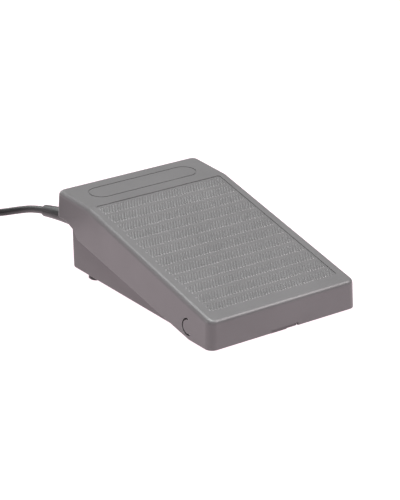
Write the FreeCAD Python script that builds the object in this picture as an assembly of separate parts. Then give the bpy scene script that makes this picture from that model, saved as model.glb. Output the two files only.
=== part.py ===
"""Foot control of a dictation machine: a hinged treadle cover over a base tray.

Frame: X across, Y from the heel to the toe, Z up from the surface the feet stand on.
Positions along Y are written from the heel edge, and save() moves every piece so that
Y = 0 is half way along the cover.
"""

import FreeCAD, Part
import math
import os

Vec = FreeCAD.Vector
X_AXIS = Vec(1, 0, 0)
Y_AXIS = Vec(0, 1, 0)
Z_AXIS = Vec(0, 0, 1)
ORIGIN = Vec(0, 0, 0)

# ------------------------------------------------------------------ driving dimensions, mm
# treadle cover, outside
width = 110.0                # at the bottom edge of the skirts
length = 167.3
heel_height = 19.9           # top of the heel wall
break_height = 49.2          # where the long slope meets the toe panel
toe_height = 50.6            # top of the rear wall
toe_panel = 35.9             # length of the toe panel, seen from above
break_round = 15.0
side_draft = 1.7             # degrees, all walls flare outwards going down
end_draft = 3.0
corner_radius = 5.1
top_edge_radius = 3.0
lip_radius = 0.5             # lower outer edge of the skirts
top_wall = 2.2
side_wall = 1.7
end_wall = 1.9

# lower edge of the skirts, seen from the side
skirt_gap = 1.9              # heel skirt above the surface
skirt_flat = 21.5            # level part, from the heel
skirt_rise = 22.7            # height gained by the long sloping part
skirt_long_end = 26.0        # end of that part, from the toe edge
skirt_step_end = 20.3        # end of the steep step, from the toe edge
skirt_step = 5.3             # height of the steep step
skirt_rear_start = 11.9      # start of the level rear part, from the toe edge
skirt_rear = 33.0            # height of the rear skirt's lower edge

# tread field and blank plate outline on top
field_side = 7.5             # from the skirts' lower edge line to the field
field_start = 9.7            # along the slope, from the heel edge
field_margin = 0.8           # from the break line
field_depth = 0.45
field_corner = 1.6
plate_side = 15.0
plate_depth = 16.5
plate_corner_slack = 0.01    # keeps the ends of the outline just short of half circles
plate_start = 8.2            # from the break line
groove_width = 0.7
groove_depth = 0.5

# hinge, stops
hinge_y = 22.9
hinge_z = 9.7
press_angle = 3.2            # degrees, full travel
tab_radius = 4.9             # middle of the C-shaped slit round the snap tab
tab_slit = 1.0
tab_from = -123.0            # degrees from +Y towards +Z
tab_to = 88.0
stub_radius = 3.0
stub_reach = 6.0             # how far the stub axle stands in from the wall
running_clearance = 0.06
bush_wall = 3.0

# base tray
base_gap = 0.37              # to the inside of the skirts, at the tray's top edge
base_bottom = 2.6
base_wall = 2.0
base_floor = 2.2
base_front = 3.9
base_rear_inset = 14.8       # rear wall at its bottom, from the toe edge
base_rear_draft = 2.2        # degrees, leans outwards going up
base_corner = 4.0
base_edge_radius = 1.5
base_front_height = 16.0
base_rear_height = 36.0
notch_width = 20.0           # pry notch in the heel wall, filled by the tray's tongue
notch_height = 2.0
tongue_gap = 0.3             # beside and above the tongue
tongue_front = 0.9           # from the heel edge, where the tongue stands forward
tongue_recess = 1.6          # from the heel edge, on the rest of its width
tongue_step = 11.5           # width of the forward part
tongue_drop = 0.4            # below the skirt's lower edge

# feet
foot_radius = 5.0
foot_stem_radius = 2.3
foot_head_radius = 3.0
foot_clearance = 0.15
foot_barb = 1.5
foot_rim = 0.6
feet_rear_inset = (9.0, 34.3)    # from the side and from the toe edge
feet_front_inset = (13.0, 13.0)  # from the side and from the heel edge

# ballast plate and screws
ballast_side = 15.0          # from the side
ballast_depth = 34.0
ballast_thick = 4.0
ballast_front = 13.0
ballast_corner = 4.0
ballast_inset = 6.0
boss_height = 3.0
screw_radius = 1.5
screw_head_radius = 2.8
screw_head_height = 1.9
screw_depth = 4.0
screw_clearance = 0.2
boss_radius = 3.6

# return springs
spring_x = 20.0
spring_from_toe = 63.3
spring_radius = 6.4          # middle of the wire
spring_wire = 0.7            # radius
spring_turns = 7
spring_gap = 0.05
spring_seat = 5.0            # how far the cover's seat stands below its underside
spring_seat_rim = 1.0
post_height = 6.0
post_clearance = 0.5

# bump stops and retaining hooks
bump_inset = 11.0            # from the side
bump_from_toe = 24.3
bump_radius = 5.0
bump_height = 5.0
bump_gap = 0.15              # left at full travel
bump_post_radius = 4.4
bump_stem_radius = 1.5
bump_stem = 3.5
hook_inset = 11.0            # from the side
hook_from_toe = 57.3
hook_width = 6.0
hook_thickness = 2.4
hook_barb = 2.8
hook_bottom = 12.0
hook_lip = 3.0               # height of the barb
hook_gap = 0.1
catch_wall = 2.4
catch_above = 4.0            # of the catch wall over its window
catch_clearance = 0.6
catch_side = 3.0             # of the catch wall beside the hook
rib_inset = 23.0             # stiffening ribs, from the side
rib_thickness = 1.4
rib_depth = 4.0
actuator_half_width = 3.0
actuator_half_depth = 1.5

# snap-action switch, its lever, bracket and fasteners
switch_size = (6.4, 19.8, 10.2)
switch_front = 60.0
switch_bottom = 14.0
switch_hole_spacing = 9.5
switch_hole_height = 2.9
switch_screw_radius = 1.0
switch_hole_radius = 1.15
pivot_setback = 2.0          # lever pivot, from the front of the body
pivot_height = 0.9           # above the body
pin_radius = 0.5
eye_radius = 1.05
lever_length = 21.0
lever_contact = 18.0         # where the cover's rib presses, from the pivot
lever_thickness = 0.4
lever_width = 3.6
lever_angle = 12.0           # at rest, above level
plunger_setback = 5.5        # from the pivot
plunger_radius = 0.9
lever_gap = 0.12
ear_thickness = 0.9
ear_half_length = 1.2
ear_gap = 0.2                # beside the lever
bracket_sheet = 1.2
bracket_foot = 13.0
bracket_boss = 5.0
bracket_overhang = 0.5
bracket_wall_height = 6.5    # beside the switch
bracket_screw_inset = 3.5
nut_flats = 4.0
nut_height = 1.6
terminal_size = (0.5, 3.2, 5.6)
terminal_inset = 1.8
terminal_hole = 0.6

# cable, strain relief, clamp, leads
cable_radius = 2.5
cable_x = -33.0
cable_exit_height = 24.15
boot_length = 60.0
boot_root_radius = 5.6
boot_tip_radius = 3.9
boot_bend = 343.0            # radius of its droop
boot_neck_radius = 5.0
boot_flange = 1.8
boot_flange_radius = 7.0
boot_seat = 0.04             # between the flange and the rear wall
arch_clearance = 1.6         # rear skirt to the boot at full travel
clamp_from_toe = 46.3
clamp_strap = 1.6
clamp_width = 8.0
clamp_screw_x = 7.5
saddle_height = 1.2
lead_radius = 0.8
lead_offset = 1.2            # of each lead from the cable's middle
lead_side_x = (6.5, 4.0)     # where the common and the open lead pass the switch
lead_turn_gap = 5.9          # from the left spring to the leads' turn in front of it
lead_turn_side = 9.0         # from the cable's middle to that turn
lead_cross_drop = 3.0        # how far they come forward as they cross to the switch
lead_cross_side = 12.0       # from the end of the crossing to the switch's side
lead_rear_gap = 2.2          # from the switch's rear to the leads' last turn
jacket_end = 8.0             # cable's jacket ends this far past the clamp

# free cord, its coil, strap and plug: offsets from the boot's tip, and heights of the
# cord's underside above the surface
cord_straight = 15.0         # straight out of the boot
cord_route = [
    (-3.2, 29.5, 5.9),
    (-11.0, 43.5, 0.9),
    (-25.0, 56.0, 0.1),
    (-43.0, 64.3, 0.1),
]
coil_offset = (-63.0, 34.0)
coil_radius = 28.0           # middle of the turns
coil_pitch = 5.1
coil_slack = 0.1
strap_thickness = 1.0
strap_angle = 22.0
strap_at = 285.0
plug_grip_radius = 4.5
plug_grip_length = 22.0
plug_pin_radius = 1.75
plug_sleeve_length = 8.6
plug_insulator_length = 0.8
plug_tip_length = 4.6

# ------------------------------------------------------------------ derived sizes
half = width / 2
break_y = length - toe_panel
spring_y = length - spring_from_toe
bump_x = half - bump_inset
bump_y = length - bump_from_toe
hook_x = half - hook_inset
hook_y = length - hook_from_toe
clamp_y = length - clamp_from_toe
ballast_width = width - 2 * ballast_side
switch_rear = switch_front + switch_size[1]
heel_top_y = (heel_height - skirt_gap) * math.tan(math.radians(end_draft))
toe_top_y = length - (toe_height - skirt_rear) * math.tan(math.radians(end_draft))
slope = math.atan2(break_height - heel_height, break_y - heel_top_y)
toe_slope = math.atan2(toe_height - break_height, toe_top_y - break_y)
floor_top = base_bottom + base_floor
press = math.radians(press_angle)
side_lean = math.tan(math.radians(side_draft))
end_lean = math.tan(math.radians(end_draft))
base_half = half - side_wall - base_gap - (base_rear_height - skirt_gap) * side_lean
base_rear = length - base_rear_inset
base_lean = math.tan(math.radians(base_rear_draft))
stub_inner_x = half - side_wall - stub_reach
coil_section = 2 * (coil_pitch + cable_radius + coil_slack)


def top_z(y):
    """Height of the cover's outer top at a distance from the heel."""
    if y < break_y:
        return heel_height + (y - heel_top_y) * math.tan(slope)
    return break_height + (y - break_y) * math.tan(toe_slope)


def under_z(y):
    """Height of the cover's underside."""
    angle = slope if y < break_y else toe_slope
    return top_z(y) - top_wall / math.cos(angle)


def pressed(y, z):
    """Where a point of the treadle goes at full travel, as (y, z)."""
    dy = y - hinge_y
    dz = z - hinge_z
    return (hinge_y + dy * math.cos(press) + dz * math.sin(press),
            hinge_z - dy * math.sin(press) + dz * math.cos(press))


# ------------------------------------------------------------------ building helpers
def box(x0, x1, y0, y1, z0, z1):
    return Part.makeBox(x1 - x0, y1 - y0, z1 - z0, Vec(x0, y0, z0))


def rod(radius, start, end):
    """A cylinder between two points."""
    start = Vec(*start)
    axis = Vec(*end) - start
    return Part.makeCylinder(radius, axis.Length, start, axis)


def turned(points, start, axis):
    """A solid of revolution: (distance along axis, radius) pairs, closed on the axis."""
    axis = Vec(*axis)
    axis.normalize()
    start = Vec(*start)
    side = axis.cross(X_AXIS if abs(axis.x) < 0.9 else Y_AXIS)
    side.normalize()
    outline = [(points[0][0], 0.0)] + list(points) + [(points[-1][0], 0.0)]
    corners = [start + axis * along + side * radius for along, radius in outline]
    corners.append(corners[0])
    face = Part.Face(Part.makePolygon(corners))
    return face.revolve(start, axis, 360)


def rounded_path(points, closed):
    """Edges through points (position, radius): straight runs joined by tangent arcs."""
    count = len(points)
    ends = []
    edges = []
    for i, (here, radius) in enumerate(points):
        if not closed and i in (0, count - 1) or radius == 0:
            ends.append((here, here))
            continue
        back = points[i - 1][0] - here
        ahead = points[(i + 1) % count][0] - here
        back.normalize()
        ahead.normalize()
        half_turn = (math.pi - back.getAngle(ahead)) / 2
        reach = radius * math.tan(half_turn)
        middle = back + ahead
        middle.normalize()
        centre = here + middle * (radius / math.cos(half_turn))
        first = here + back * reach
        last = here + ahead * reach
        ends.append((first, last))
        edges.append((i, Part.Arc(first, centre - middle * radius, last).toShape()))
    arcs = dict(edges)
    path = []
    for i in range(count):
        if i in arcs:
            path.append(arcs[i])
        if i < count - 1 or closed:
            start = ends[i][1]
            finish = ends[(i + 1) % count][0]
            path.append(Part.makeLine(start, finish))
    return path


def side_prism(points, x0, x1):
    """A prism along X over a side-view outline of (y, z, radius) corners."""
    corners = [(Vec(x0, y, z), radius) for y, z, radius in points]
    face = Part.Face(Part.Wire(rounded_path(corners, True)))
    return face.extrude(Vec(x1 - x0, 0, 0))


def tapered_block(half_width, front, rear, z0, z1, side, end, rear_side):
    """A block between two heights whose four walls lean in by the given tangents."""
    rise = z1 - z0
    wedge = Part.makeWedge(-half_width, z0, -rear, -rear + rear_side * rise,
                           -half_width + side * rise, half_width, z1, -front,
                           -front - end * rise, half_width - side * rise)
    wedge.rotate(ORIGIN, X_AXIS, 90)
    return wedge


def upright_edges(solid, z0, z1):
    """Edges that run from one height to the other."""
    return [e for e in solid.Edges
            if abs(e.BoundBox.ZMin - z0) < 1e-3 and abs(e.BoundBox.ZMax - z1) < 1e-3]


def mirrored(shape):
    return shape.mirror(ORIGIN, X_AXIS)


def fused(first, others):
    return first.multiFuse(others).removeSplitter()


def pan_screw(at, direction, radius, head_radius, head_height, reach):
    """A pan head screw with a cross recess; at is the seat of its head."""
    direction = Vec(*direction)
    body = turned([(-head_height, head_radius * 0.72), (-head_height * 0.45, head_radius),
                   (0, head_radius), (0, radius), (reach - radius, radius),
                   (reach, radius * 0.35)], ORIGIN, Z_AXIS)
    arm = head_radius * 0.62
    slit = head_radius * 0.13
    deep = head_height * 0.6
    for x, y in ((arm, slit), (slit, arm)):
        body = body.cut(box(-x, x, -y, y, -head_height - 1, -head_height + deep))
    body.Placement = FreeCAD.Placement(Vec(*at), FreeCAD.Rotation(Z_AXIS, direction))
    return body


def swept(path, radius):
    """A round bar along a path of edges."""
    wire = Part.Wire(path)
    start = path[0].valueAt(path[0].FirstParameter)
    along = path[0].tangentAt(path[0].FirstParameter)
    circle = Part.Wire(Part.makeCircle(radius, start, along))
    return wire.makePipeShell([circle], True, False)


def cord_path(points):
    """Runs joined by arcs of 0.45 of the shorter run; also gives the arcs' radii."""
    corners = [(points[0], 0.0)]
    radii = []
    for i in range(1, len(points) - 1):
        back = points[i - 1] - points[i]
        ahead = points[i + 1] - points[i]
        half_turn = (math.pi - back.getAngle(ahead)) / 2
        radius = 0.45 * min(back.Length, ahead.Length) / math.tan(half_turn)
        corners.append((points[i], radius))
        radii.append(radius)
    corners.append((points[-1], 0.0))
    return rounded_path(corners, False), radii


def save(name, shape):
    moved = shape.copy()
    moved.translate(Vec(0, -length / 2, 0))
    if not moved.isValid():
        print("not valid:", name)
    moved.exportStep(os.path.join("parts", name + ".step"))


# ------------------------------------------------------------------ treadle cover
def skirt_edge(extra):
    """Lower edge of the skirts from the toe edge back to the heel, as outline corners."""
    return [
        (length + extra, skirt_rear, 0),
        (length - skirt_rear_start, skirt_rear, 10),
        (length - skirt_step_end, skirt_gap + skirt_rise + skirt_step, 4),
        (length - skirt_long_end, skirt_gap + skirt_rise, 5),
        (skirt_flat, skirt_gap, 8),
        (-extra, skirt_gap, 0),
    ]


def cover_outside():
    high = toe_height + 10
    low = -10.0
    block = tapered_block(half + (skirt_gap - low) * side_lean,
                          -(skirt_gap - low) * end_lean,
                          length + (skirt_rear - low) * end_lean,
                          low, high, side_lean, end_lean, end_lean)
    block = block.makeFillet(corner_radius, upright_edges(block, low, high))
    over = 20.0
    outline = [
        (-over, top_z(-over), 0),
        (break_y, break_height, break_round),
        (length + over, top_z(length + over), 0),
    ] + skirt_edge(over)
    shell = block.common(side_prism(outline, -width, width))
    top_edges = [e for e in shell.Edges if on_top_rim(e)]
    shell = shell.makeFillet(top_edge_radius, top_edges)
    low_edges = [e for e in shell.Edges if on_skirt_rim(e)]
    return shell.makeFillet(lip_radius, low_edges)


def on_top_rim(edge):
    """True for the outer edges of the top, but not for the soft break across it."""
    points = [edge.valueAt(p) for p in
              (edge.FirstParameter, (edge.FirstParameter + edge.LastParameter) / 2,
               edge.LastParameter)]
    across = abs(points[0].x - points[2].x) > width / 2
    near_break = abs(points[1].y - break_y) < 5
    on_top = all(abs(p.z - top_z(p.y)) < 0.4 for p in points)
    return on_top and not (across and near_break)


def on_skirt_rim(edge):
    """True for the outer edges of the face that closes the skirts below."""
    bounds = edge.BoundBox
    if bounds.XLength > width / 2 and abs(bounds.YMax) > 1 and abs(bounds.YMax - length) > 1:
        return False
    middle = edge.valueAt((edge.FirstParameter + edge.LastParameter) / 2)
    return bounds.ZMax < skirt_rear + 0.1 and bounds.ZMin < top_z(middle.y) - heel_height / 2


def cover_inside():
    high = toe_height + 10
    low = -10.0
    block = tapered_block(half - side_wall + (skirt_gap - low) * side_lean,
                          end_wall - (skirt_gap - low) * end_lean,
                          length - end_wall + (skirt_rear - low) * end_lean,
                          low, high, side_lean, end_lean, end_lean)
    block = block.makeFillet(corner_radius - side_wall, upright_edges(block, low, high))
    over = 20.0
    break_in = break_y + top_wall * math.tan((slope - toe_slope) / 2)
    outline = [
        (-over, under_z(-over), 0),
        (break_in, under_z(break_in), 0),
        (length + over, under_z(length + over), 0),
        (length + over, -over, 0),
        (-over, -over, 0),
    ]
    return block.common(side_prism(outline, -width, width))


def slope_frame():
    """Placement with X across, Y up the long slope from its heel edge, Z out of it."""
    turn = FreeCAD.Rotation(X_AXIS, math.degrees(slope))
    return FreeCAD.Placement(Vec(0, heel_top_y, heel_height), turn)


def toe_frame():
    """Placement with X across, Y up the toe panel from the break line, Z out of it."""
    turn = FreeCAD.Rotation(X_AXIS, math.degrees(toe_slope))
    return FreeCAD.Placement(Vec(0, break_y, break_height), turn)


def rounded_slab(x0, x1, y0, y1, radius, z0, z1):
    corners = [(Vec(x0, y0, z0), radius), (Vec(x1, y0, z0), radius),
               (Vec(x1, y1, z0), radius), (Vec(x0, y1, z0), radius)]
    face = Part.Face(Part.Wire(rounded_path(corners, True)))
    return face.extrude(Vec(0, 0, z1 - z0))


def tread_field():
    run = (break_y - heel_top_y) / math.cos(slope)
    x = half - field_side
    slab = rounded_slab(-x, x, field_start, run - field_margin, field_corner,
                        -field_depth, top_wall)
    slab.Placement = slope_frame()
    return slab


def plate_groove():
    x = half - plate_side
    y0 = plate_start
    y1 = plate_start + plate_depth
    corner = plate_depth / 2 - plate_corner_slack
    outer = rounded_slab(-x, x, y0, y1, corner, -groove_depth, groove_depth)
    inner = rounded_slab(-x + groove_width, x - groove_width, y0 + groove_width,
                         y1 - groove_width, corner - groove_width, -groove_depth, groove_depth)
    ring = outer.cut(inner)
    ring.Placement = toe_frame()
    return ring


def tab_slot():
    """The C-shaped slit round one snap tab, through the right-hand wall."""
    x0 = half - side_wall - 2
    depth = side_wall + 4
    ring = Part.makeCylinder(tab_radius + tab_slit / 2, depth, ORIGIN, X_AXIS)
    ring = ring.cut(Part.makeCylinder(tab_radius - tab_slit / 2, depth, ORIGIN, X_AXIS))
    reach = tab_radius * 4
    fan = [ORIGIN]
    steps = 6
    for i in range(steps + 1):
        angle = math.radians(tab_from + (tab_to - tab_from) * i / steps)
        fan.append(Vec(0, reach * math.cos(angle), reach * math.sin(angle)))
    fan.append(ORIGIN)
    sector = Part.Face(Part.makePolygon(fan)).extrude(Vec(depth, 0, 0))
    slot = ring.common(sector)
    for angle in (math.radians(tab_from), math.radians(tab_to)):
        end = Vec(0, tab_radius * math.cos(angle), tab_radius * math.sin(angle))
        slot = slot.fuse(Part.makeCylinder(tab_slit / 2, depth, end, X_AXIS))
    slot.translate(Vec(x0, hinge_y, hinge_z))
    return slot


def stub_axle():
    """Stub that stands in from the snap tab, with a lead-in chamfer."""
    wall_x = half - side_wall - (hinge_z - skirt_gap) * side_lean
    root = wall_x + side_wall / 2
    reach = root - stub_inner_x
    return turned([(0, stub_radius), (reach - 0.8, stub_radius), (reach, stub_radius - 0.8)],
                  (root, hinge_y, hinge_z), (-1, 0, 0))


def spring_seat_z():
    return under_z(spring_y) - spring_seat


def boot_at(distance):
    """Centre and direction of the strain relief at a distance from the rear wall."""
    start = math.radians(base_rear_draft)
    turn = distance / boot_bend
    y0, z0 = boot_root()
    y = y0 + boot_bend * (math.sin(start + turn) - math.sin(start))
    z = z0 - boot_bend * (math.cos(start) - math.cos(start + turn))
    return Vec(cable_x, y, z), Vec(0, math.cos(start + turn), -math.sin(start + turn))


def boot_root():
    return base_rear + (cable_exit_height - base_bottom) * base_lean, cable_exit_height


def boot_radius(distance):
    return boot_root_radius + (boot_tip_radius - boot_root_radius) * distance / boot_length


def rear_arch():
    """Arch in the rear skirt that lets it come down over the strain relief."""
    distance = length - boot_root()[0]
    centre, _ = boot_at(distance)
    radius = boot_radius(distance) + arch_clearance
    _, drop = pressed(length, centre.z)
    z = centre.z + (centre.z - drop)
    y0 = length - end_wall - 4
    y1 = length + 4
    slot = box(cable_x - radius, cable_x + radius, y0, y1, skirt_rear - 5, max(z, skirt_rear))
    return slot.fuse(rod(radius, (cable_x, y0, z), (cable_x, y1, z)))


def retaining_hook():
    """Leg under the cover whose barb stops the treadle's upward travel."""
    x0 = hook_x - hook_width / 2
    x1 = hook_x + hook_width / 2
    y0 = hook_y - hook_thickness / 2
    y1 = hook_y + hook_thickness / 2
    leg = box(x0, x1, y0, y1, hook_bottom, under_z(hook_y) + top_wall / 2)
    top = hook_bottom + hook_lip
    barb = [(y1 - 0.5, hook_bottom, 0), (y1 + 0.6, hook_bottom, 0),
            (y1 + hook_barb, top - 1, 0), (y1 + hook_barb, top, 0), (y1 - 0.5, top, 0)]
    return leg.fuse(side_prism(barb, x0, x1))


def actuator_rib():
    """Rib that presses the switch lever."""
    y = hinge_pivot()[0] + lever_contact
    bottom = lever_top_z(lever_contact) + lever_gap
    deep = actuator_half_depth
    top = under_z(y) + top_wall / 2
    outline = [(y - deep, bottom, deep - 0.1), (y + deep, bottom, deep - 0.1),
               (y + deep, top, 0), (y - deep, top, 0)]
    return side_prism(outline, -actuator_half_width, actuator_half_width)


def stiffening_ribs():
    """Two long ribs under the top, clear of the mechanism below."""
    y0 = hinge_y + 12
    y1 = break_y - 8
    x = half - rib_inset
    outline = [(y0, under_z(y0) + 0.5, 0), (y1, under_z(y1) + 0.5, 0),
               (y1, under_z(y1) - rib_depth, 3), (y0, under_z(y0) - rib_depth, 3)]
    rib = side_prism(outline, x - rib_thickness / 2, x + rib_thickness / 2)
    return [rib, mirrored(rib)]


def treadle_cover():
    shell = cover_outside().cut(cover_inside())
    slot = tab_slot()
    notch = rounded_slab(-notch_width / 2, notch_width / 2, -3, end_wall + 1.5, 0.01,
                         skirt_gap - 2, skirt_gap + notch_height)
    shell = shell.cut([tread_field(), plate_groove(), slot, mirrored(slot), notch,
                       rear_arch()])
    seat_z = spring_seat_z()
    seat_radius = spring_radius + spring_wire + spring_seat_rim
    post_radius = spring_radius - spring_wire - post_clearance
    seats = []
    for x in (-spring_x, spring_x):
        top = (x, spring_y, under_z(spring_y + seat_radius) - 0.2)
        pad = rod(seat_radius, (x, spring_y, seat_z), (x, spring_y, under_z(spring_y) + 0.9))
        post = rod(post_radius, (x, spring_y, seat_z - post_height), top)
        seats += [pad.common(cover_fill()), post.common(cover_fill())]
    stub = stub_axle()
    hook = retaining_hook()
    return fused(shell, seats + [stub, mirrored(stub), hook, mirrored(hook), actuator_rib()]
                 + stiffening_ribs())


def cover_fill():
    """Everything below the middle of the top wall."""
    outline = [(0, under_z(0) + top_wall / 2, 0), (break_y, under_z(break_y) + top_wall / 2, 0),
               (break_y, 0, 0), (0, 0, 0)]
    return side_prism(outline, -half, half)


# ------------------------------------------------------------------ base tray
def base_outside():
    low = base_bottom
    high = base_rear_height + 10
    block = tapered_block(base_half, base_front, base_rear, low, high, 0, 0, -base_lean)
    block = block.makeFillet(base_corner, upright_edges(block, low, high))
    bottom = [e for e in block.Edges if abs(e.BoundBox.ZMax - low) < 1e-3]
    return block.makeFillet(base_edge_radius, bottom)


def base_inside():
    low = floor_top
    high = base_rear_height + 10
    rise = low - base_bottom
    block = tapered_block(base_half - base_wall, base_front + base_wall,
                          base_rear - base_wall + rise * base_lean, low, high, 0, 0,
                          -base_lean)
    return block.makeFillet(base_corner - base_wall, upright_edges(block, low, high))


def base_top_cut():
    """Everything above the tray's rim, which follows the cover's slope."""
    over = 5.0
    high = toe_height + 40
    knee = (hinge_y, base_front_height + 3.0)
    rear_knee = (break_y, base_rear_height - 2.0)
    outline = [(-over, base_front_height - 1.5, 0), (knee[0], knee[1], 0),
               (rear_knee[0], rear_knee[1], 0), (length, base_rear_height, 0),
               (length, high, 0), (-over, high, 0)]
    return side_prism(outline, -width, width)


def bush():
    """Bush inside the tray's side wall for the cover's stub axle."""
    x0 = stub_inner_x - 0.6
    return rod(stub_radius + bush_wall, (x0, hinge_y, hinge_z),
               (base_half - base_wall / 2, hinge_y, hinge_z))


def blind_hole(x, y, top, depth):
    return rod(screw_radius, (x, y, top - depth), (x, y, top))


def catch():
    """Wall with a window that the retaining hook's barb catches under."""
    top = hook_bottom + hook_lip + hook_gap
    swing = (top + catch_above - hinge_z) * math.sin(press)
    y0 = hook_y + hook_thickness / 2 + swing + hook_gap * 3
    y1 = y0 + catch_wall
    x0 = hook_x - hook_width / 2 - catch_side
    x1 = base_half - base_wall / 2
    wall = box(x0, x1, y0, y1, floor_top - 0.5, top + catch_above)
    window = box(hook_x - hook_width / 2 - catch_clearance,
                 hook_x + hook_width / 2 + catch_clearance, y0 - 1, y1 + 1,
                 floor_top + 0.4, top)
    return wall.cut(window)


def ballast_places():
    reach = ballast_width / 2 - ballast_inset
    ys = (ballast_front + ballast_inset, ballast_front + ballast_depth - ballast_inset)
    return [(x, y) for x in (-reach, reach) for y in ys]


def bracket_places():
    x = -switch_size[0] / 2 - bracket_foot + boss_radius + 0.8
    return [(x, switch_front + bracket_screw_inset), (x, switch_rear - bracket_screw_inset)]


def clamp_places():
    return [(cable_x - clamp_screw_x, clamp_y), (cable_x + clamp_screw_x, clamp_y)]


def bump_top():
    """Height of the rubber's top: just clear of the cover at full travel."""
    return pressed(bump_y, under_z(bump_y))[1] - bump_gap


def feet_places():
    front_x = half - feet_front_inset[0]
    front_y = feet_front_inset[1]
    rear_x = half - feet_rear_inset[0]
    rear_y = length - feet_rear_inset[1]
    return {"foot_front_left": (-front_x, front_y),
            "foot_front_right": (front_x, front_y),
            "foot_rear_left": (-rear_x, rear_y),
            "foot_rear_right": (rear_x, rear_y)}


def boot_slot():
    """U-shaped slot in the rear wall, open at the top, for the strain relief's neck."""
    radius = boot_neck_radius + 0.05
    root, direction = boot_at(0)
    start = root - direction * (base_wall + 3)
    end = root + direction * 3
    slot = rod(radius, start, end)
    upper = box(cable_x - radius, cable_x + radius, base_rear - base_wall - 4, base_rear + 8,
                root.z, base_rear_height + 20)
    return slot.fuse(upper)


def heel_tongue():
    """Stepped tongue at the foot of the tray's front wall, in the cover's pry notch."""
    x0 = -notch_width / 2 + tongue_gap
    x1 = notch_width / 2 - tongue_gap
    z0 = skirt_gap - tongue_drop
    z1 = skirt_gap + notch_height - tongue_gap
    root = base_front + base_edge_radius
    return [box(x0, x1, tongue_recess, root, z0, z1),
            box(x0, x0 + tongue_step, tongue_front, root, z0, z1)]


def base_shell():
    tray = base_outside().cut(base_inside())
    tray = tray.cut(base_top_cut())
    side_bush = bush()
    additions = [side_bush, mirrored(side_bush), catch(), mirrored(catch())]
    holes = []
    for x, y in ballast_places():
        additions.append(rod(boss_radius, (x, y, floor_top - 0.5), (x, y, floor_top + boss_height)))
        holes.append(blind_hole(x, y, floor_top + boss_height, screw_depth))
    for x, y in bracket_places():
        top = floor_top + bracket_boss
        additions.append(rod(boss_radius, (x, y, floor_top - 0.5), (x, y, top)))
        holes.append(blind_hole(x, y, top, screw_depth))
    for x, y in clamp_places():
        top = floor_top + saddle_height + cable_radius
        additions.append(rod(boss_radius, (x, y, floor_top - 0.5), (x, y, top)))
        holes.append(blind_hole(x, y, top, screw_depth))
    additions.append(box(cable_x - 4, cable_x + 4, clamp_y - clamp_width / 2,
                         clamp_y + clamp_width / 2, floor_top - 0.5,
                         floor_top + saddle_height + 1))
    post_radius = spring_radius - spring_wire - post_clearance
    for x in (-spring_x, spring_x):
        additions.append(rod(post_radius, (x, spring_y, floor_top - 0.5),
                             (x, spring_y, floor_top + post_height)))
    post_top = bump_top() - bump_height
    for x in (-bump_x, bump_x):
        additions.append(rod(bump_post_radius, (x, bump_y, floor_top - 0.5),
                             (x, bump_y, post_top)))
        holes.append(rod(bump_stem_radius, (x, bump_y, post_top - bump_stem - 0.5),
                         (x, bump_y, post_top)))
    additions += heel_tongue()
    bore = stub_radius + running_clearance
    axle_hole = rod(bore, (stub_inner_x - 0.3, hinge_y, hinge_z), (half, hinge_y, hinge_z))
    holes += [axle_hole, mirrored(axle_hole), boot_slot()]
    cable = rod(cable_radius, (cable_x, clamp_y - clamp_width, cable_floor_z()),
                (cable_x, clamp_y + clamp_width, cable_floor_z()))
    holes.append(cable)
    for x, y in feet_places().values():
        radius = foot_stem_radius + foot_clearance
        holes.append(rod(radius, (x, y, base_bottom - 1), (x, y, floor_top + 1)))
    return fused(tray, additions).cut(holes)


def cable_floor_z():
    """Height of the cable's middle where it lies in the clamp's saddle."""
    return floor_top + saddle_height + cable_radius


def foot(x, y):
    """Rubber button foot with a barbed stem pushed through the tray's floor."""
    points = [(0, foot_radius - foot_rim), (foot_rim, foot_radius), (base_bottom, foot_radius),
              (base_bottom, foot_stem_radius), (floor_top + 0.05, foot_stem_radius),
              (floor_top + 0.05, foot_head_radius), (floor_top + foot_barb, foot_stem_radius)]
    return turned(points, (x, y, 0), Z_AXIS)


def ballast_plate():
    z0 = floor_top + boss_height
    z1 = z0 + ballast_thick
    plate = rounded_slab(-ballast_width / 2, ballast_width / 2, ballast_front,
                         ballast_front + ballast_depth, ballast_corner, z0, z1)
    holes = [rod(screw_radius + screw_clearance, (x, y, z0 - 1), (x, y, z1 + 1))
             for x, y in ballast_places()]
    return plate.cut(holes)


def screws_down(places, seat, grip):
    """Self-tapping screws, heads up, through a thickness into the tray's bosses."""
    reach = grip + screw_depth - 0.4
    return Part.makeCompound([
        pan_screw((x, y, seat), (0, 0, -1), screw_radius, screw_head_radius,
                  screw_head_height, reach) for x, y in places])


def bump_stop(x):
    top = bump_top()
    low = top - bump_height
    cap = [(low - bump_stem, bump_stem_radius), (low, bump_stem_radius), (low, bump_radius),
           (top - 1.2, bump_radius), (top - 0.35, bump_radius - 0.45), (top, bump_radius - 1.4)]
    return turned(cap, (x, bump_y, 0), Z_AXIS)


def spring(x):
    """Return spring: one round wire wound on a helix."""
    low = floor_top + spring_gap + spring_wire
    high = spring_seat_z() - spring_gap - spring_wire
    rise = high - low
    helix = Part.makeHelix(rise / spring_turns, rise, spring_radius)
    lead = math.atan2(rise / spring_turns, 2 * math.pi * spring_radius)
    along = Vec(0, math.cos(lead), math.sin(lead))
    circle = Part.Wire(Part.makeCircle(spring_wire, Vec(spring_radius, 0, 0), along))
    coil = Part.Wire(helix.Edges).makePipeShell([circle], True, True)
    coil.translate(Vec(x, spring_y, low))
    return coil


# ------------------------------------------------------------------ switch
def switch_top():
    return switch_bottom + switch_size[2]


def hinge_pivot():
    """Lever pivot, as (y, z)."""
    return switch_front + pivot_setback, switch_top() + pivot_height


def lever_mid_z(distance):
    return hinge_pivot()[1] + distance * math.tan(math.radians(lever_angle))


def lever_top_z(distance):
    return lever_mid_z(distance) + lever_thickness / 2 / math.cos(math.radians(lever_angle))


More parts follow.
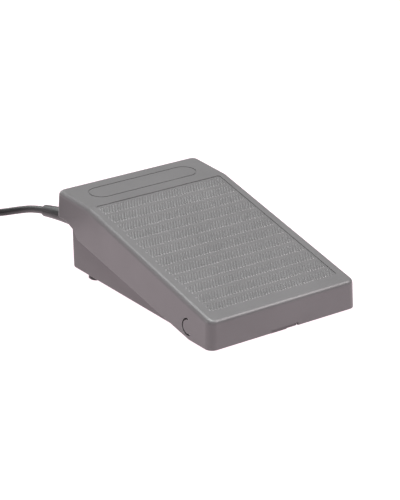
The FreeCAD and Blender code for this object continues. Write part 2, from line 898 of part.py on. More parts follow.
def switch_hole_places():
    middle = switch_front + switch_size[1] / 2
    z = switch_bottom + switch_hole_height
    return [(middle - switch_hole_spacing / 2, z), (middle + switch_hole_spacing / 2, z)]


def switch_body():
    sx, sy, _ = switch_size
    case = box(-sx / 2, sx / 2, switch_front, switch_front + sy, switch_bottom, switch_top())
    pivot_y, pivot_z = hinge_pivot()
    ear_inner = lever_width / 2 + ear_gap
    ears = [box(x0, x0 + ear_thickness, pivot_y - ear_half_length, pivot_y + ear_half_length,
                switch_top() - 0.5, pivot_z + ear_half_length)
            for x0 in (-ear_inner - ear_thickness, ear_inner)]
    case = fused(case, ears)
    holes = [rod(switch_hole_radius, (-sx, y, z), (sx, y, z)) for y, z in switch_hole_places()]
    holes.append(rod(pin_radius, (-sx, pivot_y, pivot_z), (sx, pivot_y, pivot_z)))
    plunger_y = pivot_y + plunger_setback
    bore = plunger_radius + running_clearance
    holes.append(rod(bore, (0, plunger_y, switch_top() - 4), (0, plunger_y, switch_top() + 1)))
    recess = eye_radius + 0.25
    holes.append(rod(recess, (-ear_inner, pivot_y, pivot_z), (ear_inner, pivot_y, pivot_z)))
    return case.cut(holes)


def switch_plunger():
    pivot_y, _ = hinge_pivot()
    y = pivot_y + plunger_setback
    top = lever_mid_z(plunger_setback) - lever_thickness / 2 - lever_gap * 1.5
    low = switch_top() - 2.6
    return turned([(low, plunger_radius), (top - 0.4, plunger_radius),
                   (top, plunger_radius - 0.4)], (0, y, 0), Z_AXIS)


def switch_lever():
    """Flat spring-steel lever rolled into an eye round its pin."""
    pivot_y, pivot_z = hinge_pivot()
    w = lever_width / 2
    t = lever_thickness / 2
    strip = box(-w, w, eye_radius * 0.7, lever_length, -t, t)
    eye = rod(eye_radius, (-w, 0, 0), (w, 0, 0))
    lever = strip.fuse(eye).cut(rod(pin_radius + running_clearance, (-w - 1, 0, 0), (w + 1, 0, 0)))
    turn = FreeCAD.Rotation(X_AXIS, lever_angle)
    lever.Placement = FreeCAD.Placement(Vec(0, pivot_y, pivot_z), turn)
    return lever


def lever_pin():
    pivot_y, pivot_z = hinge_pivot()
    reach = lever_width / 2 + ear_gap + ear_thickness
    return rod(pin_radius, (-reach, pivot_y, pivot_z), (reach, pivot_y, pivot_z))


def switch_terminals():
    tx, ty, tz = terminal_size
    blades = []
    for y in terminal_places():
        blades.append(box(-tx / 2, tx / 2, y - ty / 2, y + ty / 2, switch_bottom - tz,
                          switch_bottom))
    return Part.makeCompound(blades)


def terminal_places():
    """Common, open and closed terminals, from the front of the switch."""
    return (switch_front + terminal_inset, (switch_front + switch_rear) / 2,
            switch_rear - terminal_inset)


def switch_bracket():
    """Steel angle that holds the switch off the tray's floor."""
    x1 = -switch_size[0] / 2
    x0 = x1 - bracket_foot
    y0 = switch_front - bracket_overhang
    y1 = switch_rear + bracket_overhang
    wall_top = switch_bottom + bracket_wall_height
    z0 = floor_top + bracket_boss
    bend = bracket_sheet * 1.8
    outline = [(x0, z0, 0), (x1, z0, bend), (x1, wall_top, 0),
               (x1 - bracket_sheet, wall_top, 0),
               (x1 - bracket_sheet, z0 + bracket_sheet, bend - bracket_sheet),
               (x0, z0 + bracket_sheet, 0)]
    corners = [(Vec(x, y0, z), radius) for x, z, radius in outline]
    face = Part.Face(Part.Wire(rounded_path(corners, True)))
    angle = face.extrude(Vec(0, y1 - y0, 0))
    holes = [rod(switch_hole_radius, (x0, y, z), (x1 + 1, y, z)) for y, z in switch_hole_places()]
    holes += [rod(screw_radius + screw_clearance, (x, y, z0 - 1), (x, y, z0 + 4))
              for x, y in bracket_places()]
    return angle.cut(holes)


def switch_screws():
    x = switch_size[0] / 2
    reach = switch_size[0] + bracket_sheet + nut_height + 0.8
    return Part.makeCompound([
        pan_screw((x, y, z), (-1, 0, 0), switch_screw_radius, 1.9, 1.3, reach)
        for y, z in switch_hole_places()])


def switch_nuts():
    x1 = -switch_size[0] / 2 - bracket_sheet
    across = nut_flats / math.sqrt(3)
    nuts = []
    for y, z in switch_hole_places():
        corners = [Vec(x1, y + across * math.cos(math.radians(60 * i)),
                       z + across * math.sin(math.radians(60 * i))) for i in range(7)]
        nut = Part.Face(Part.makePolygon(corners)).extrude(Vec(-nut_height, 0, 0))
        nuts.append(nut.cut(rod(switch_screw_radius, (x1 + 1, y, z), (x1 - 5, y, z))))
    return Part.makeCompound(nuts)


# ------------------------------------------------------------------ cable and cord
def strain_relief():
    """Rubber boot moulded on the cable, held by its neck in the rear wall."""
    rings = []
    steps = 4
    for i in range(steps + 1):
        distance = boot_length * i / steps
        centre, along = boot_at(distance)
        rings.append(Part.Wire(Part.makeCircle(boot_radius(distance), centre, along)))
    boot = Part.makeLoft(rings, True, False)
    root, along = boot_at(0)
    inner = base_wall + boot_seat
    collar = turned([(-inner - boot_flange, boot_flange_radius),
                     (-inner, boot_flange_radius), (-inner, boot_neck_radius),
                     (0.02, boot_neck_radius), (0.02, boot_flange_radius),
                     (boot_flange, boot_flange_radius)], root, along)
    return fused(boot, [collar])


def inner_cable_start():
    root, along = boot_at(0)
    return root - along * (base_wall + boot_seat + boot_flange), along


def inner_cable():
    """Jacketed cable from the strain relief to the clamp."""
    start, along = inner_cable_start()
    z = cable_floor_z()
    points = [start, start - along * 5.5, Vec(cable_x, clamp_y + 14, z + 4.5),
              Vec(cable_x, clamp_y + 6, z), Vec(cable_x, clamp_y - jacket_end, z)]
    path, _ = cord_path(points)
    return swept(path, cable_radius)


def cable_clamp():
    """Saddle strap over the cable."""
    z = cable_floor_z()
    y0 = clamp_y - clamp_width / 2
    outer = cable_radius + clamp_strap
    seat = z
    arch = rod(outer, (cable_x, y0, z), (cable_x, y0 + clamp_width, z))
    reach = clamp_screw_x + boss_radius
    foot_plate = box(cable_x - reach, cable_x + reach, y0, y0 + clamp_width, seat,
                     seat + clamp_strap)
    strap = arch.fuse(foot_plate)
    strap = strap.cut(box(cable_x - 20, cable_x + 20, y0 - 1, y0 + clamp_width + 1, 0, seat))
    strap = strap.cut(rod(cable_radius, (cable_x, y0 - 1, z), (cable_x, y0 + clamp_width + 1, z)))
    holes = [rod(screw_radius + screw_clearance, (x, y, seat - 1), (x, y, seat + 4))
             for x, y in clamp_places()]
    return strap.cut(holes).removeSplitter()


def lead(offset, terminal_y, side_x):
    """Insulated lead from the cable's end round the switch to one of its terminals."""
    z = cable_floor_z()
    blade_z = switch_bottom - terminal_size[2] / 2 - terminal_hole
    turn_y = spring_y - spring_radius - spring_wire - lead_turn_gap + offset
    points = [Vec(cable_x + offset, clamp_y - jacket_end, z),
              Vec(cable_x + offset, spring_y, z),
              Vec(cable_x + lead_turn_side, turn_y, z),
              Vec(side_x - lead_cross_side, turn_y - lead_cross_drop, z),
              Vec(side_x, switch_rear + lead_rear_gap + offset, z),
              Vec(side_x + terminal_hole, terminal_y + 5, blade_z - lead_radius),
              Vec(side_x - 1, terminal_y, blade_z), Vec(terminal_size[0] / 2, terminal_y, blade_z)]
    path, _ = cord_path(points)
    return swept(path, lead_radius)


def boot_tip():
    centre, along = boot_at(boot_length)
    return centre, along


def coil_centre():
    tip, _ = boot_tip()
    return Vec(tip.x + coil_offset[0], tip.y + coil_offset[1], 0)


def cord_points():
    tip, along = boot_tip()
    points = [tip, tip + along * cord_straight]
    points += [Vec(tip.x + dx, tip.y + dy, low + cable_radius) for dx, dy, low in cord_route]
    centre = coil_centre()
    points.append(Vec(centre.x, centre.y + coil_radius + coil_pitch,
                      strap_thickness + coil_slack + cable_radius))
    return points


def coil_profile(grow):
    """Section of the bundle in the plane Y = 0, X outwards from the coil's axis."""
    low = strap_thickness - grow
    r0 = coil_radius - coil_section / 2 - grow
    r1 = coil_radius + coil_section / 2 + grow
    high = strap_thickness + coil_section + grow
    rounding = cable_radius + grow
    corners = [(Vec(r0, 0, low), rounding), (Vec(r1, 0, low), rounding),
               (Vec(r1, 0, high), rounding), (Vec(r0, 0, high), rounding)]
    return Part.Face(Part.Wire(rounded_path(corners, True)))


def cord_coil():
    coil = coil_profile(0).revolve(ORIGIN, Z_AXIS, 360)
    coil.translate(coil_centre())
    return coil


def coil_strap():
    """Hook-and-loop strap round the bundle."""
    band = coil_profile(strap_thickness).cut(coil_profile(0))
    strap = band.revolve(ORIGIN, Z_AXIS, strap_angle)
    strap.rotate(ORIGIN, Z_AXIS, strap_at)
    strap.translate(coil_centre())
    return strap


def plug_axis():
    """Start and direction of the plug, which lies on top of the coil."""
    centre = coil_centre()
    z = strap_thickness + coil_section + plug_grip_radius
    start = Vec(centre.x - coil_radius, centre.y + coil_radius / 2, z)
    return start, Vec(0, -1, 0)


def plug_piece(points, distance):
    start, along = plug_axis()
    return turned(points, start + along * distance, along)


def plug_grip():
    r = plug_grip_radius
    n = plug_grip_length
    return plug_piece([(0, cable_radius + 0.6), (6, cable_radius + 1.0), (7.5, r - 0.6),
                       (9, r), (n - 1.5, r), (n, r - 1.0)], 0)


def plug_sleeve():
    r = plug_pin_radius
    return plug_piece([(0, r + 1.2), (1.2, r + 1.2), (1.2, r), (plug_sleeve_length, r)],
                      plug_grip_length)


def plug_insulator():
    return plug_piece([(0, plug_pin_radius - 0.1), (plug_insulator_length, plug_pin_radius - 0.1)],
                      plug_grip_length + plug_sleeve_length)


def plug_tip():
    r = plug_pin_radius
    n = plug_tip_length
    return plug_piece([(0, r), (0.9, r), (1.8, r * 0.72), (2.6, r * 0.94), (3.4, r * 0.88),
                       (n, r * 0.2)],
                      plug_grip_length + plug_sleeve_length + plug_insulator_length)


# ------------------------------------------------------------------ build
def main():
    os.makedirs("parts", exist_ok=True)
    save("treadle_cover", treadle_cover())
    save("base_shell", base_shell())
    for name, (x, y) in feet_places().items():
        save(name, foot(x, y))
    save("ballast_plate", ballast_plate())
    ballast_top = floor_top + boss_height + ballast_thick
    save("ballast_screws", screws_down(ballast_places(), ballast_top, ballast_thick))
    save("bump_stop_left", bump_stop(-bump_x))
    save("bump_stop_right", bump_stop(bump_x))
    save("spring_left", spring(-spring_x))
    save("spring_right", spring(spring_x))
    save("switch_body", switch_body())
    save("switch_plunger", switch_plunger())
    save("switch_lever", switch_lever())
    save("lever_pin", lever_pin())
    save("switch_terminals", switch_terminals())
    save("switch_bracket", switch_bracket())
    save("switch_screws", switch_screws())
    save("switch_nuts", switch_nuts())
    bracket_seat = floor_top + bracket_boss + bracket_sheet
    save("bracket_screws", screws_down(bracket_places(), bracket_seat, bracket_sheet))
    save("strain_relief", strain_relief())
    save("inner_cable", inner_cable())
    save("cable_clamp", cable_clamp())
    clamp_seat = cable_floor_z() + clamp_strap
    save("clamp_screws", screws_down(clamp_places(), clamp_seat, clamp_strap))
    common_y, open_y, _ = terminal_places()
    save("lead_common", lead(lead_offset, common_y, lead_side_x[0]))
    save("lead_open", lead(-lead_offset, open_y, lead_side_x[1]))
    path, radii = cord_path(cord_points())
    tube = swept(path, cable_radius)
    run = Part.Wire(path).Length
    print("cord arc radii:", [round(r, 1) for r in radii])
    print("cord tube length %.1f, volume %.1f, section x length %.1f"
          % (run, tube.Volume, math.pi * cable_radius ** 2 * run))
    save("cord_tube", tube)
    save("cord_coil", cord_coil())
    save("coil_strap", coil_strap())
    save("plug_grip", plug_grip())
    save("plug_sleeve", plug_sleeve())
    save("plug_insulator", plug_insulator())
    save("plug_tip", plug_tip())


main()
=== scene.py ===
"""Looks of the foot control: materials, tread ribs, free cable with its coil, studio and camera."""

import math

import bpy
from mathutils import Matrix, Vector


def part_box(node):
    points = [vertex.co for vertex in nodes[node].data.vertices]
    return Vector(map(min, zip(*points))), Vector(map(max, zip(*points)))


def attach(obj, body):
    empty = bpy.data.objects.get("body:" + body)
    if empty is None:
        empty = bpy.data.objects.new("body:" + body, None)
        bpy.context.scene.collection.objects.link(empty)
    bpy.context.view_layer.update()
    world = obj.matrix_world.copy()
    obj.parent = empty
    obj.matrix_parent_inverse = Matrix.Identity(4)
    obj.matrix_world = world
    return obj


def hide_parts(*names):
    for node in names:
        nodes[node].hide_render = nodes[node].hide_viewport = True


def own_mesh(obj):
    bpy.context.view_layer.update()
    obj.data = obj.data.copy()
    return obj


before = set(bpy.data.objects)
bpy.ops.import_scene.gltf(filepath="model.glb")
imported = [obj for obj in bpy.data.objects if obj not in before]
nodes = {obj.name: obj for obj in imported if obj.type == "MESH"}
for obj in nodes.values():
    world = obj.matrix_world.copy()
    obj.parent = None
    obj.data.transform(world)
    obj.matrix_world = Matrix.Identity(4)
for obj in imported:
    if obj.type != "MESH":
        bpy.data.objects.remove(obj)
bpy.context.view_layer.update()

# ------------------------------------------------------------------ sizes, metres and degrees
MM = 0.001

# camera at the photograph's viewing angle
CAMERA_AIM = Vector((-0.00169, 0.0, 0.02485))
CAMERA_AZIMUTH = -35.95
CAMERA_ELEVATION = 22.66
CAMERA_ROLL = 0.14
CAMERA_DISTANCE = 1.28289
CAMERA_LENS = 149.73

# tread field on the cover's long slope
SLOPE_FOOT = Vector((0.0, -82.707 * MM, 19.9 * MM))
SLOPE = 0.22093              # radians
FIELD_HALF_WIDTH = 47.5 * MM
FIELD_START = 9.7 * MM
FIELD_END = 132.9 * MM
FIELD_DEPTH = 0.45 * MM
RIB_SIDE_MARGIN = 1.1 * MM
RIB_END_MARGIN = 0.6 * MM
RIB_PITCH = 2.06 * MM
RIB_ROW = 10.4 * MM
RIB_LENGTH = 8.2 * MM
RIB_LEAD = 1.5 * MM          # how far the first row starts before the field
RIB_END_SLOPE = 0.7 * MM
RIB_SHORTEST = 1.75 * MM
RIB_ANGLE = 31.0             # from straight up the slope
RIB_FOOT_WIDTH = 1.6 * MM
RIB_HEIGHT = 0.41 * MM
RIB_SINK = 0.05 * MM

# free cable
CABLE_RADIUS = 2.5 * MM
CORD_ROUTE = [
    (-0.0330, 0.129127, 0.016628),
    (-0.0330, 0.143787, 0.013452),
    (-0.0362, 0.158627, 0.0084),
    (-0.0440, 0.172627, 0.0034),
    (-0.0580, 0.185127, 0.0026),
    (-0.0760, 0.193427, 0.0026),
]
COIL_CENTRE = Vector((-0.096, 0.163127, 0.0))
COIL_RADIUS = 28.0 * MM
COIL_PITCH = 5.1 * MM
COIL_FLOOR = 3.6 * MM
COIL_STEPS = 24
SHIFT_STEPS = 4
PLUG_STRAIGHT = 6.0 * MM
END_SWEEP = 0.9              # share of a shift that the cable's end sweeps on the way to its plug
END_EARLY_RISE = 1.1         # how much sooner it has risen than it has swept
END_STEPS = ((0.25, 0.05), (0.6, 0.35), (0.9, 0.75))     # shares of the way along and outwards

# plastics' colours; the base's grey is darker than the cover's, as painted shade for the base wall
# set back under the cover's skirt
COVER_GREY = (0.141, 0.137, 0.139)
BASE_GREY_PAINTED_SHADE = (0.124, 0.119, 0.121)

# fineness of the plastics' and rubbers' texture, per metre
CLOUD_SCALE = 38.0
COARSE_GRAIN_SCALE = 700.0
FINE_GRAIN_SCALE = 2600.0
RUBBER_DUST_SCALE = 160.0
RUBBER_GRAIN_SCALE = 1500.0
METAL_GRAIN_SCALE = 900.0
TAPE_FUZZ_SCALE = 2200.0
TAPE_LOOP_SCALE = 1400.0

# studio
FLOOR_HALF_SIZE = 40.0
LIGHT_AIM = (0, 0, 0.03)
COOL_WHITE = (0.97, 1.0, 0.99)
WARM_WHITE = (1.0, 0.94, 0.96)
ROSY_WHITE = (1.0, 0.93, 0.95)


# ------------------------------------------------------------------ node helpers
def material(name):
    made = bpy.data.materials.new(name)
    made.use_nodes = True
    return made, made.node_tree.nodes, made.node_tree.links


def paint(node_name, made):
    mesh = nodes[node_name].data
    mesh.materials.clear()
    mesh.materials.append(made)


def coordinates(tree_nodes):
    return tree_nodes.new("ShaderNodeTexCoord").outputs["Object"]


def noise(tree_nodes, links, scale, detail, roughness=0.5):
    texture = tree_nodes.new("ShaderNodeTexNoise")
    texture.inputs["Scale"].default_value = scale
    texture.inputs["Detail"].default_value = detail
    texture.inputs["Roughness"].default_value = roughness
    links.new(coordinates(tree_nodes), texture.inputs["Vector"])
    return texture.outputs["Fac"]


def ramp(tree_nodes, links, factor, low, high, colours):
    band = tree_nodes.new("ShaderNodeValToRGB")
    band.color_ramp.elements[0].position = low
    band.color_ramp.elements[1].position = high
    band.color_ramp.elements[0].color = (*colours[0], 1)
    band.color_ramp.elements[1].color = (*colours[1], 1)
    links.new(factor, band.inputs["Fac"])
    return band.outputs["Color"]


def remap(tree_nodes, links, factor, low, high):
    mapped = tree_nodes.new("ShaderNodeMapRange")
    mapped.inputs["To Min"].default_value = low
    mapped.inputs["To Max"].default_value = high
    links.new(factor, mapped.inputs["Value"])
    return mapped.outputs["Result"]


def bump(tree_nodes, links, height, strength, distance, below=None):
    made = tree_nodes.new("ShaderNodeBump")
    made.inputs["Strength"].default_value = strength
    made.inputs["Distance"].default_value = distance
    links.new(height, made.inputs["Height"])
    if below is not None:
        links.new(below, made.inputs["Normal"])
    return made.outputs["Normal"]


def tinted(colour, share):
    return tuple(min(1.0, c * share) for c in colour)


# ------------------------------------------------------------------ materials
def moulded_plastic(name, colour, roughness, grain=0.35, specular=0.45):
    """Injection-moulded plastic with the fine grain of a spark-eroded tool."""
    made, tree, links = material(name)
    shader = tree["Principled BSDF"]
    cloud = noise(tree, links, CLOUD_SCALE, 4.0)
    colours = (tinted(colour, 0.965), tinted(colour, 1.035))
    links.new(ramp(tree, links, cloud, 0.35, 0.65, colours), shader.inputs["Base Color"])
    fine = noise(tree, links, FINE_GRAIN_SCALE, 2.0, 0.6)
    links.new(remap(tree, links, fine, roughness - 0.06, roughness + 0.06),
              shader.inputs["Roughness"])
    coarse = noise(tree, links, COARSE_GRAIN_SCALE, 3.0)
    under = bump(tree, links, coarse, grain * 0.5, 0.00004)
    links.new(bump(tree, links, fine, grain, 0.00002, under), shader.inputs["Normal"])
    shader.inputs["Specular IOR Level"].default_value = specular
    return made


def rubber(name, colour, roughness=0.55, grain=0.3):
    made, tree, links = material(name)
    shader = tree["Principled BSDF"]
    dust = noise(tree, links, RUBBER_DUST_SCALE, 5.0, 0.65)
    colours = (tinted(colour, 0.85), tinted(colour, 1.25))
    links.new(ramp(tree, links, dust, 0.35, 0.7, colours), shader.inputs["Base Color"])
    fine = noise(tree, links, RUBBER_GRAIN_SCALE, 3.0)
    links.new(remap(tree, links, fine, roughness - 0.08, roughness + 0.1),
              shader.inputs["Roughness"])
    links.new(bump(tree, links, fine, grain, 0.00003), shader.inputs["Normal"])
    shader.inputs["Sheen Weight"].default_value = 0.08
    return made


def metal(name, colour, roughness, stretch=(1.0, 1.0, 1.0)):
    """Plated or rolled metal, its grain drawn out along the axis with the least stretch."""
    made, tree, links = material(name)
    shader = tree["Principled BSDF"]
    mapping = tree.new("ShaderNodeMapping")
    mapping.inputs["Scale"].default_value = stretch
    links.new(coordinates(tree), mapping.inputs["Vector"])
    grain = tree.new("ShaderNodeTexNoise")
    grain.inputs["Scale"].default_value = METAL_GRAIN_SCALE
    grain.inputs["Detail"].default_value = 4.0
    links.new(mapping.outputs["Vector"], grain.inputs["Vector"])
    links.new(remap(tree, links, grain.outputs["Fac"], roughness * 0.7, roughness * 1.3),
              shader.inputs["Roughness"])
    colours = (tinted(colour, 0.9), tinted(colour, 1.05))
    links.new(ramp(tree, links, grain.outputs["Fac"], 0.3, 0.7, colours),
              shader.inputs["Base Color"])
    links.new(bump(tree, links, grain.outputs["Fac"], 0.12, 0.00002), shader.inputs["Normal"])
    shader.inputs["Metallic"].default_value = 1.0
    return made


def hook_and_loop(name, colour):
    """Woven tape with a fuzzy face."""
    made, tree, links = material(name)
    shader = tree["Principled BSDF"]
    fuzz = noise(tree, links, TAPE_FUZZ_SCALE, 5.0, 0.7)
    colours = (tinted(colour, 0.55), tinted(colour, 1.9))
    links.new(ramp(tree, links, fuzz, 0.35, 0.65, colours), shader.inputs["Base Color"])
    cells = tree.new("ShaderNodeTexVoronoi")
    cells.inputs["Scale"].default_value = TAPE_LOOP_SCALE
    links.new(coordinates(tree), cells.inputs["Vector"])
    links.new(bump(tree, links, cells.outputs["Distance"], 0.7, 0.0002),
              shader.inputs["Normal"])
    shader.inputs["Roughness"].default_value = 0.9
    shader.inputs["Sheen Weight"].default_value = 0.4
    return made


def paint_everything():
    cover = moulded_plastic("cover_plastic", COVER_GREY, 0.34, 0.15, 0.5)
    # the base's darker grey is painted shade for its wall under the cover's skirt
    base = moulded_plastic("base_plastic_painted_shade", BASE_GREY_PAINTED_SHADE, 0.5)
    black_rubber = rubber("foot_rubber", (0.022, 0.022, 0.022))
    cable = rubber("cable_pvc", (0.010, 0.010, 0.0105), 0.42, 0.15)
    rolled = metal("ballast_steel", (0.42, 0.42, 0.44), 0.42, (0.15, 1.0, 1.0))
    zinc = metal("zinc_plate", (0.66, 0.66, 0.69), 0.32)
    wire = metal("spring_wire", (0.50, 0.50, 0.52), 0.28, (1.0, 1.0, 0.2))
    nickel = metal("nickel_plate", (0.74, 0.73, 0.71), 0.12)
    brass = metal("terminal_brass", (0.70, 0.62, 0.44), 0.3)
    switch = moulded_plastic("switch_case", (0.022, 0.022, 0.024), 0.4, 0.2)
    button = moulded_plastic("plunger_red", (0.45, 0.03, 0.02), 0.3, 0.1)
    white = moulded_plastic("lead_white", (0.70, 0.70, 0.67), 0.35, 0.1)
    red = moulded_plastic("lead_red", (0.45, 0.02, 0.015), 0.35, 0.1)
    nylon = moulded_plastic("clamp_nylon", (0.58, 0.56, 0.50), 0.45, 0.1)
    tape = hook_and_loop("strap_tape", (0.035, 0.035, 0.04))
    insulator = moulded_plastic("plug_insulator", (0.02, 0.02, 0.02), 0.35, 0.05)
    finishes = {
        cover: ["treadle_cover"],
        base: ["base_shell"],
        black_rubber: ["foot_front_left", "foot_front_right", "foot_rear_left",
                       "foot_rear_right", "bump_stop_left", "bump_stop_right"],
        cable: ["strain_relief", "inner_cable", "plug_grip", "cord_tube", "cord_coil"],
        rolled: ["ballast_plate"],
        zinc: ["ballast_screws", "bracket_screws", "clamp_screws", "switch_screws",
               "switch_nuts", "lever_pin", "switch_bracket"],
        wire: ["spring_left", "spring_right", "switch_lever"],
        nickel: ["plug_sleeve", "plug_tip"],
        brass: ["switch_terminals"],
        switch: ["switch_body"],
        button: ["switch_plunger"],
        white: ["lead_common"],
        red: ["lead_open"],
        nylon: ["cable_clamp"],
        tape: ["coil_strap"],
        insulator: ["plug_insulator"],
    }
    for finish, names in finishes.items():
        for name in names:
            paint(name, finish)
    return cover, cable


# ------------------------------------------------------------------ tread ribs
def rib_section():
    """Round-topped section of a rib, (across, height above its foot), from side to side."""
    half = [(RIB_FOOT_WIDTH / 2 * across, RIB_HEIGHT * high)
            for across, high in ((1.0, 0.0), (0.82, 0.3), (0.6, 0.68), (0.34, 0.93), (0.0, 1.0))]
    return half + [(-across, high) for across, high in reversed(half[:-1])]


def cut_off(x0, v0, x1, v1, limit):
    """Ends of a straight rib kept between the field's sides, or None where too little is left."""
    low, high = sorted(((-limit - x0) / (x1 - x0), (limit - x0) / (x1 - x0)))
    low = max(low, 0.0)
    high = min(high, 1.0)
    if (high - low) * (v1 - v0) < RIB_SHORTEST:
        return None
    return [(x0 + (x1 - x0) * t, v0 + (v1 - v0) * t) for t in (low, high)]


def rib_points(ends, section):
    """Four rings of points: the rib's foot and its full height at each of its sloped ends."""
    (x0, v0), (x1, v1) = ends
    inset = RIB_END_SLOPE / (v1 - v0)
    tilt = Matrix.Rotation(SLOPE, 3, "X")
    points = []
    for share, rise in ((0.0, 0.0), (inset, 1.0), (1.0 - inset, 1.0), (1.0, 0.0)):
        x = x0 + (x1 - x0) * share
        v = v0 + (v1 - v0) * share
        for across, high in section:
            place = Vector((x + across / math.cos(math.radians(RIB_ANGLE)), v,
                            high * rise - RIB_SINK - FIELD_DEPTH))
            points.append(SLOPE_FOOT + tilt @ place)
    return points


def rib_faces(begin, count):
    """Closed skin over four rings of points."""
    faces = [[begin + i for i in range(count)],
             [begin + 3 * count + i for i in reversed(range(count))]]
    for ring in range(3):
        near = begin + ring * count
        far = near + count
        for i in range(count):
            j = (i + 1) % count
            faces.append([near + j, near + i, far + i, far + j])
    return faces


def tread_ribs(finish):
    """All ribs as one mesh: rows of short slanting ribs, each closed."""
    limit = FIELD_HALF_WIDTH - RIB_SIDE_MARGIN
    first = FIELD_START + RIB_END_MARGIN
    last = FIELD_END - RIB_END_MARGIN
    section = rib_section()
    lean = math.tan(math.radians(RIB_ANGLE))
    vertices = []
    faces = []
    columns = math.ceil(limit / RIB_PITCH) + 1
    for row in range(math.ceil((last - first) / RIB_ROW)):
        row_start = first - RIB_LEAD + row * RIB_ROW
        middle = row_start + RIB_LENGTH / 2
        v0 = max(row_start, first)
        v1 = min(row_start + RIB_LENGTH, last)
        for column in range(-columns, columns + 1):
            x = column * RIB_PITCH
            ends = cut_off(x + (v0 - middle) * lean, v0, x + (v1 - middle) * lean, v1, limit)
            if ends is None:
                continue
            faces += rib_faces(len(vertices), len(section))
            vertices += rib_points(ends, section)
    mesh = bpy.data.meshes.new("tread_ribs")
    mesh.from_pydata(vertices, [], faces)
    mesh.materials.append(finish)
    ribs = bpy.data.objects.new("tread_ribs", mesh)
    bpy.context.scene.collection.objects.link(ribs)
    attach(ribs, "treadle")


# ------------------------------------------------------------------ springs
def squash_springs():
    """Gives each return spring its own copy of its mesh."""
    for name in ("spring_left", "spring_right"):
        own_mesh(nodes[name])


# ------------------------------------------------------------------ cable
def coil_points():
    """Eight turns in three layers; each starts by shifting over to its own radius."""
    columns = [COIL_RADIUS + COIL_PITCH, COIL_RADIUS, COIL_RADIUS - COIL_PITCH]
    order = [(columns[0], 0), (columns[1], 0), (columns[2], 0), (columns[2], 1),
             (columns[1], 1), (columns[0], 1), (columns[0], 2), (columns[1], 2)]
    start = math.pi / 2
    shift = 2 * math.pi * SHIFT_STEPS / COIL_STEPS
    points = []
    for turn, (radius, layer) in enumerate(order):
        height = COIL_FLOOR + layer * COIL_PITCH
        begin = 0 if turn == 0 else SHIFT_STEPS
        for step in range(begin, COIL_STEPS + 1):
            angle = start + 2 * math.pi * step / COIL_STEPS
            points.append(on_coil(angle, radius, height))
    last_radius, layer = order[-1]
    height = COIL_FLOOR + layer * COIL_PITCH
    grip_start = plug_start()
    rise = grip_start.z - height
    for share, out in END_STEPS:
        angle = start + shift * share * END_SWEEP
        radius = last_radius + (math.hypot(*(grip_start - COIL_CENTRE).xy) - last_radius) * out
        points.append(on_coil(angle, radius, height + rise * min(1.0, share * END_EARLY_RISE)))
    points.append(grip_start + Vector((0, PLUG_STRAIGHT, 0)))
    points.append(grip_start)
    return points


def on_coil(angle, radius, height):
    return COIL_CENTRE + Vector((radius * math.cos(angle), radius * math.sin(angle), height))


def plug_start():
    """Where the cable enters the plug's grip."""
    low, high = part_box("plug_grip")
    return Vector(((low.x + high.x) / 2, high.y, (low.z + high.z) / 2))


def free_cable(finish):
    curve = bpy.data.curves.new("cable", "CURVE")
    curve.dimensions = "3D"
    curve.bevel_depth = CABLE_RADIUS
    curve.bevel_resolution = 6
    curve.resolution_u = 6
    curve.use_fill_caps = True
    spline = curve.splines.new("NURBS")
    route = [Vector(p) for p in CORD_ROUTE] + coil_points()
    spline.points.add(len(route) - 1)
    for point, place in zip(spline.points, route):
        point.co = (*place, 1.0)
    spline.order_u = 3
    spline.use_endpoint_u = True
    curve.materials.append(finish)
    cable = bpy.data.objects.new("cable", curve)
    bpy.context.scene.collection.objects.link(cable)
    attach(cable, "base")
    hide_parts("cord_tube", "cord_coil")


# ------------------------------------------------------------------ studio
def area_light(name, place, size, power, colour, along=(0, 0, 1)):
    """A softbox facing the part, its second size lying along a direction."""
    data = bpy.data.lights.new(name, "AREA")
    data.shape = "RECTANGLE"
    data.size = size[0]
    data.size_y = size[1]
    data.energy = power
    data.color = colour
    light = bpy.data.objects.new(name, data)
    back = (Vector(place) - Vector(LIGHT_AIM)).normalized()
    across = Vector(along).cross(back).normalized()
    turn = Matrix((across, back.cross(across), back)).transposed()
    light.matrix_world = Matrix.Translation(place) @ turn.to_4x4()
    bpy.context.scene.collection.objects.link(light)


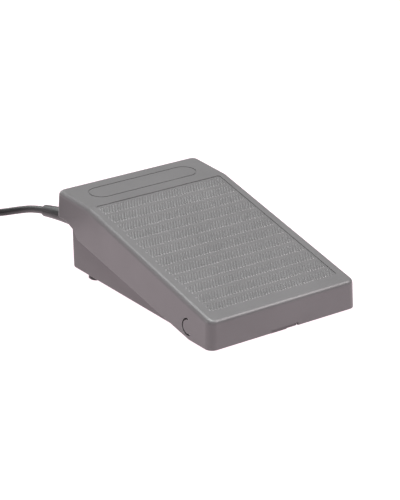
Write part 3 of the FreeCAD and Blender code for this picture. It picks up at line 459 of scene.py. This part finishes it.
def studio():
    world = bpy.data.worlds.new("studio")
    world.use_nodes = True
    background = world.node_tree.nodes["Background"]
    background.inputs["Color"].default_value = (1.0, 0.97, 0.98, 1)
    background.inputs["Strength"].default_value = 0.15
    bpy.context.scene.world = world

    made, tree, links = material("floor_white")
    shader = tree["Principled BSDF"]
    shader.inputs["Base Color"].default_value = (0.12, 0.11, 0.115, 1)
    shader.inputs["Roughness"].default_value = 0.9
    shader.inputs["Specular IOR Level"].default_value = 0.1
    shader.inputs["Emission Color"].default_value = (1.0, 0.86, 0.91, 1)
    shader.inputs["Emission Strength"].default_value = 1.2
    mesh = bpy.data.meshes.new("floor")
    half = FLOOR_HALF_SIZE
    mesh.from_pydata([(-half, -half, 0), (half, -half, 0), (half, half, 0), (-half, half, 0)],
                     [], [(0, 1, 2, 3)])
    mesh.materials.append(made)
    floor = bpy.data.objects.new("floor", mesh)
    bpy.context.scene.collection.objects.link(floor)

    area_light("overhead", (0.05, 0.06, 1.37), (1.1, 1.1), 28.5, COOL_WHITE, (0, 1, 0))
    area_light("back", (0.0, 1.2, 0.5), (0.8, 0.3), 3.0, COOL_WHITE)
    area_light("strip_right", (0.71, -0.55, 1.0), (0.2, 0.6), 7.5, WARM_WHITE, (0, 0.83, 0.55))
    area_light("fill_left", (-1.25, 0.45, 0.5), (0.7, 0.7), 3.6, ROSY_WHITE)


def camera():
    azimuth = math.radians(CAMERA_AZIMUTH)
    elevation = math.radians(CAMERA_ELEVATION)
    back = Vector((math.sin(azimuth) * math.cos(elevation),
                   -math.cos(azimuth) * math.cos(elevation), math.sin(elevation)))
    right = Vector((0, 0, 1)).cross(back).normalized()
    up = back.cross(right)
    turn = Matrix((right, up, back)).transposed() @ Matrix.Rotation(
        math.radians(CAMERA_ROLL), 3, "Z")
    data = bpy.data.cameras.new("camera")
    data.lens = CAMERA_LENS
    data.sensor_width = 36.0
    data.clip_start = 0.05
    view = bpy.data.objects.new("camera", data)
    view.matrix_world = Matrix.Translation(CAMERA_AIM + back * CAMERA_DISTANCE) @ turn.to_4x4()
    bpy.context.scene.collection.objects.link(view)
    bpy.context.scene.camera = view


# ------------------------------------------------------------------ put together
cover_finish, cable_finish = paint_everything()
tread_ribs(cover_finish)
squash_springs()
free_cable(cable_finish)
studio()
camera()
bpy.context.scene.view_settings.view_transform = "Standard"
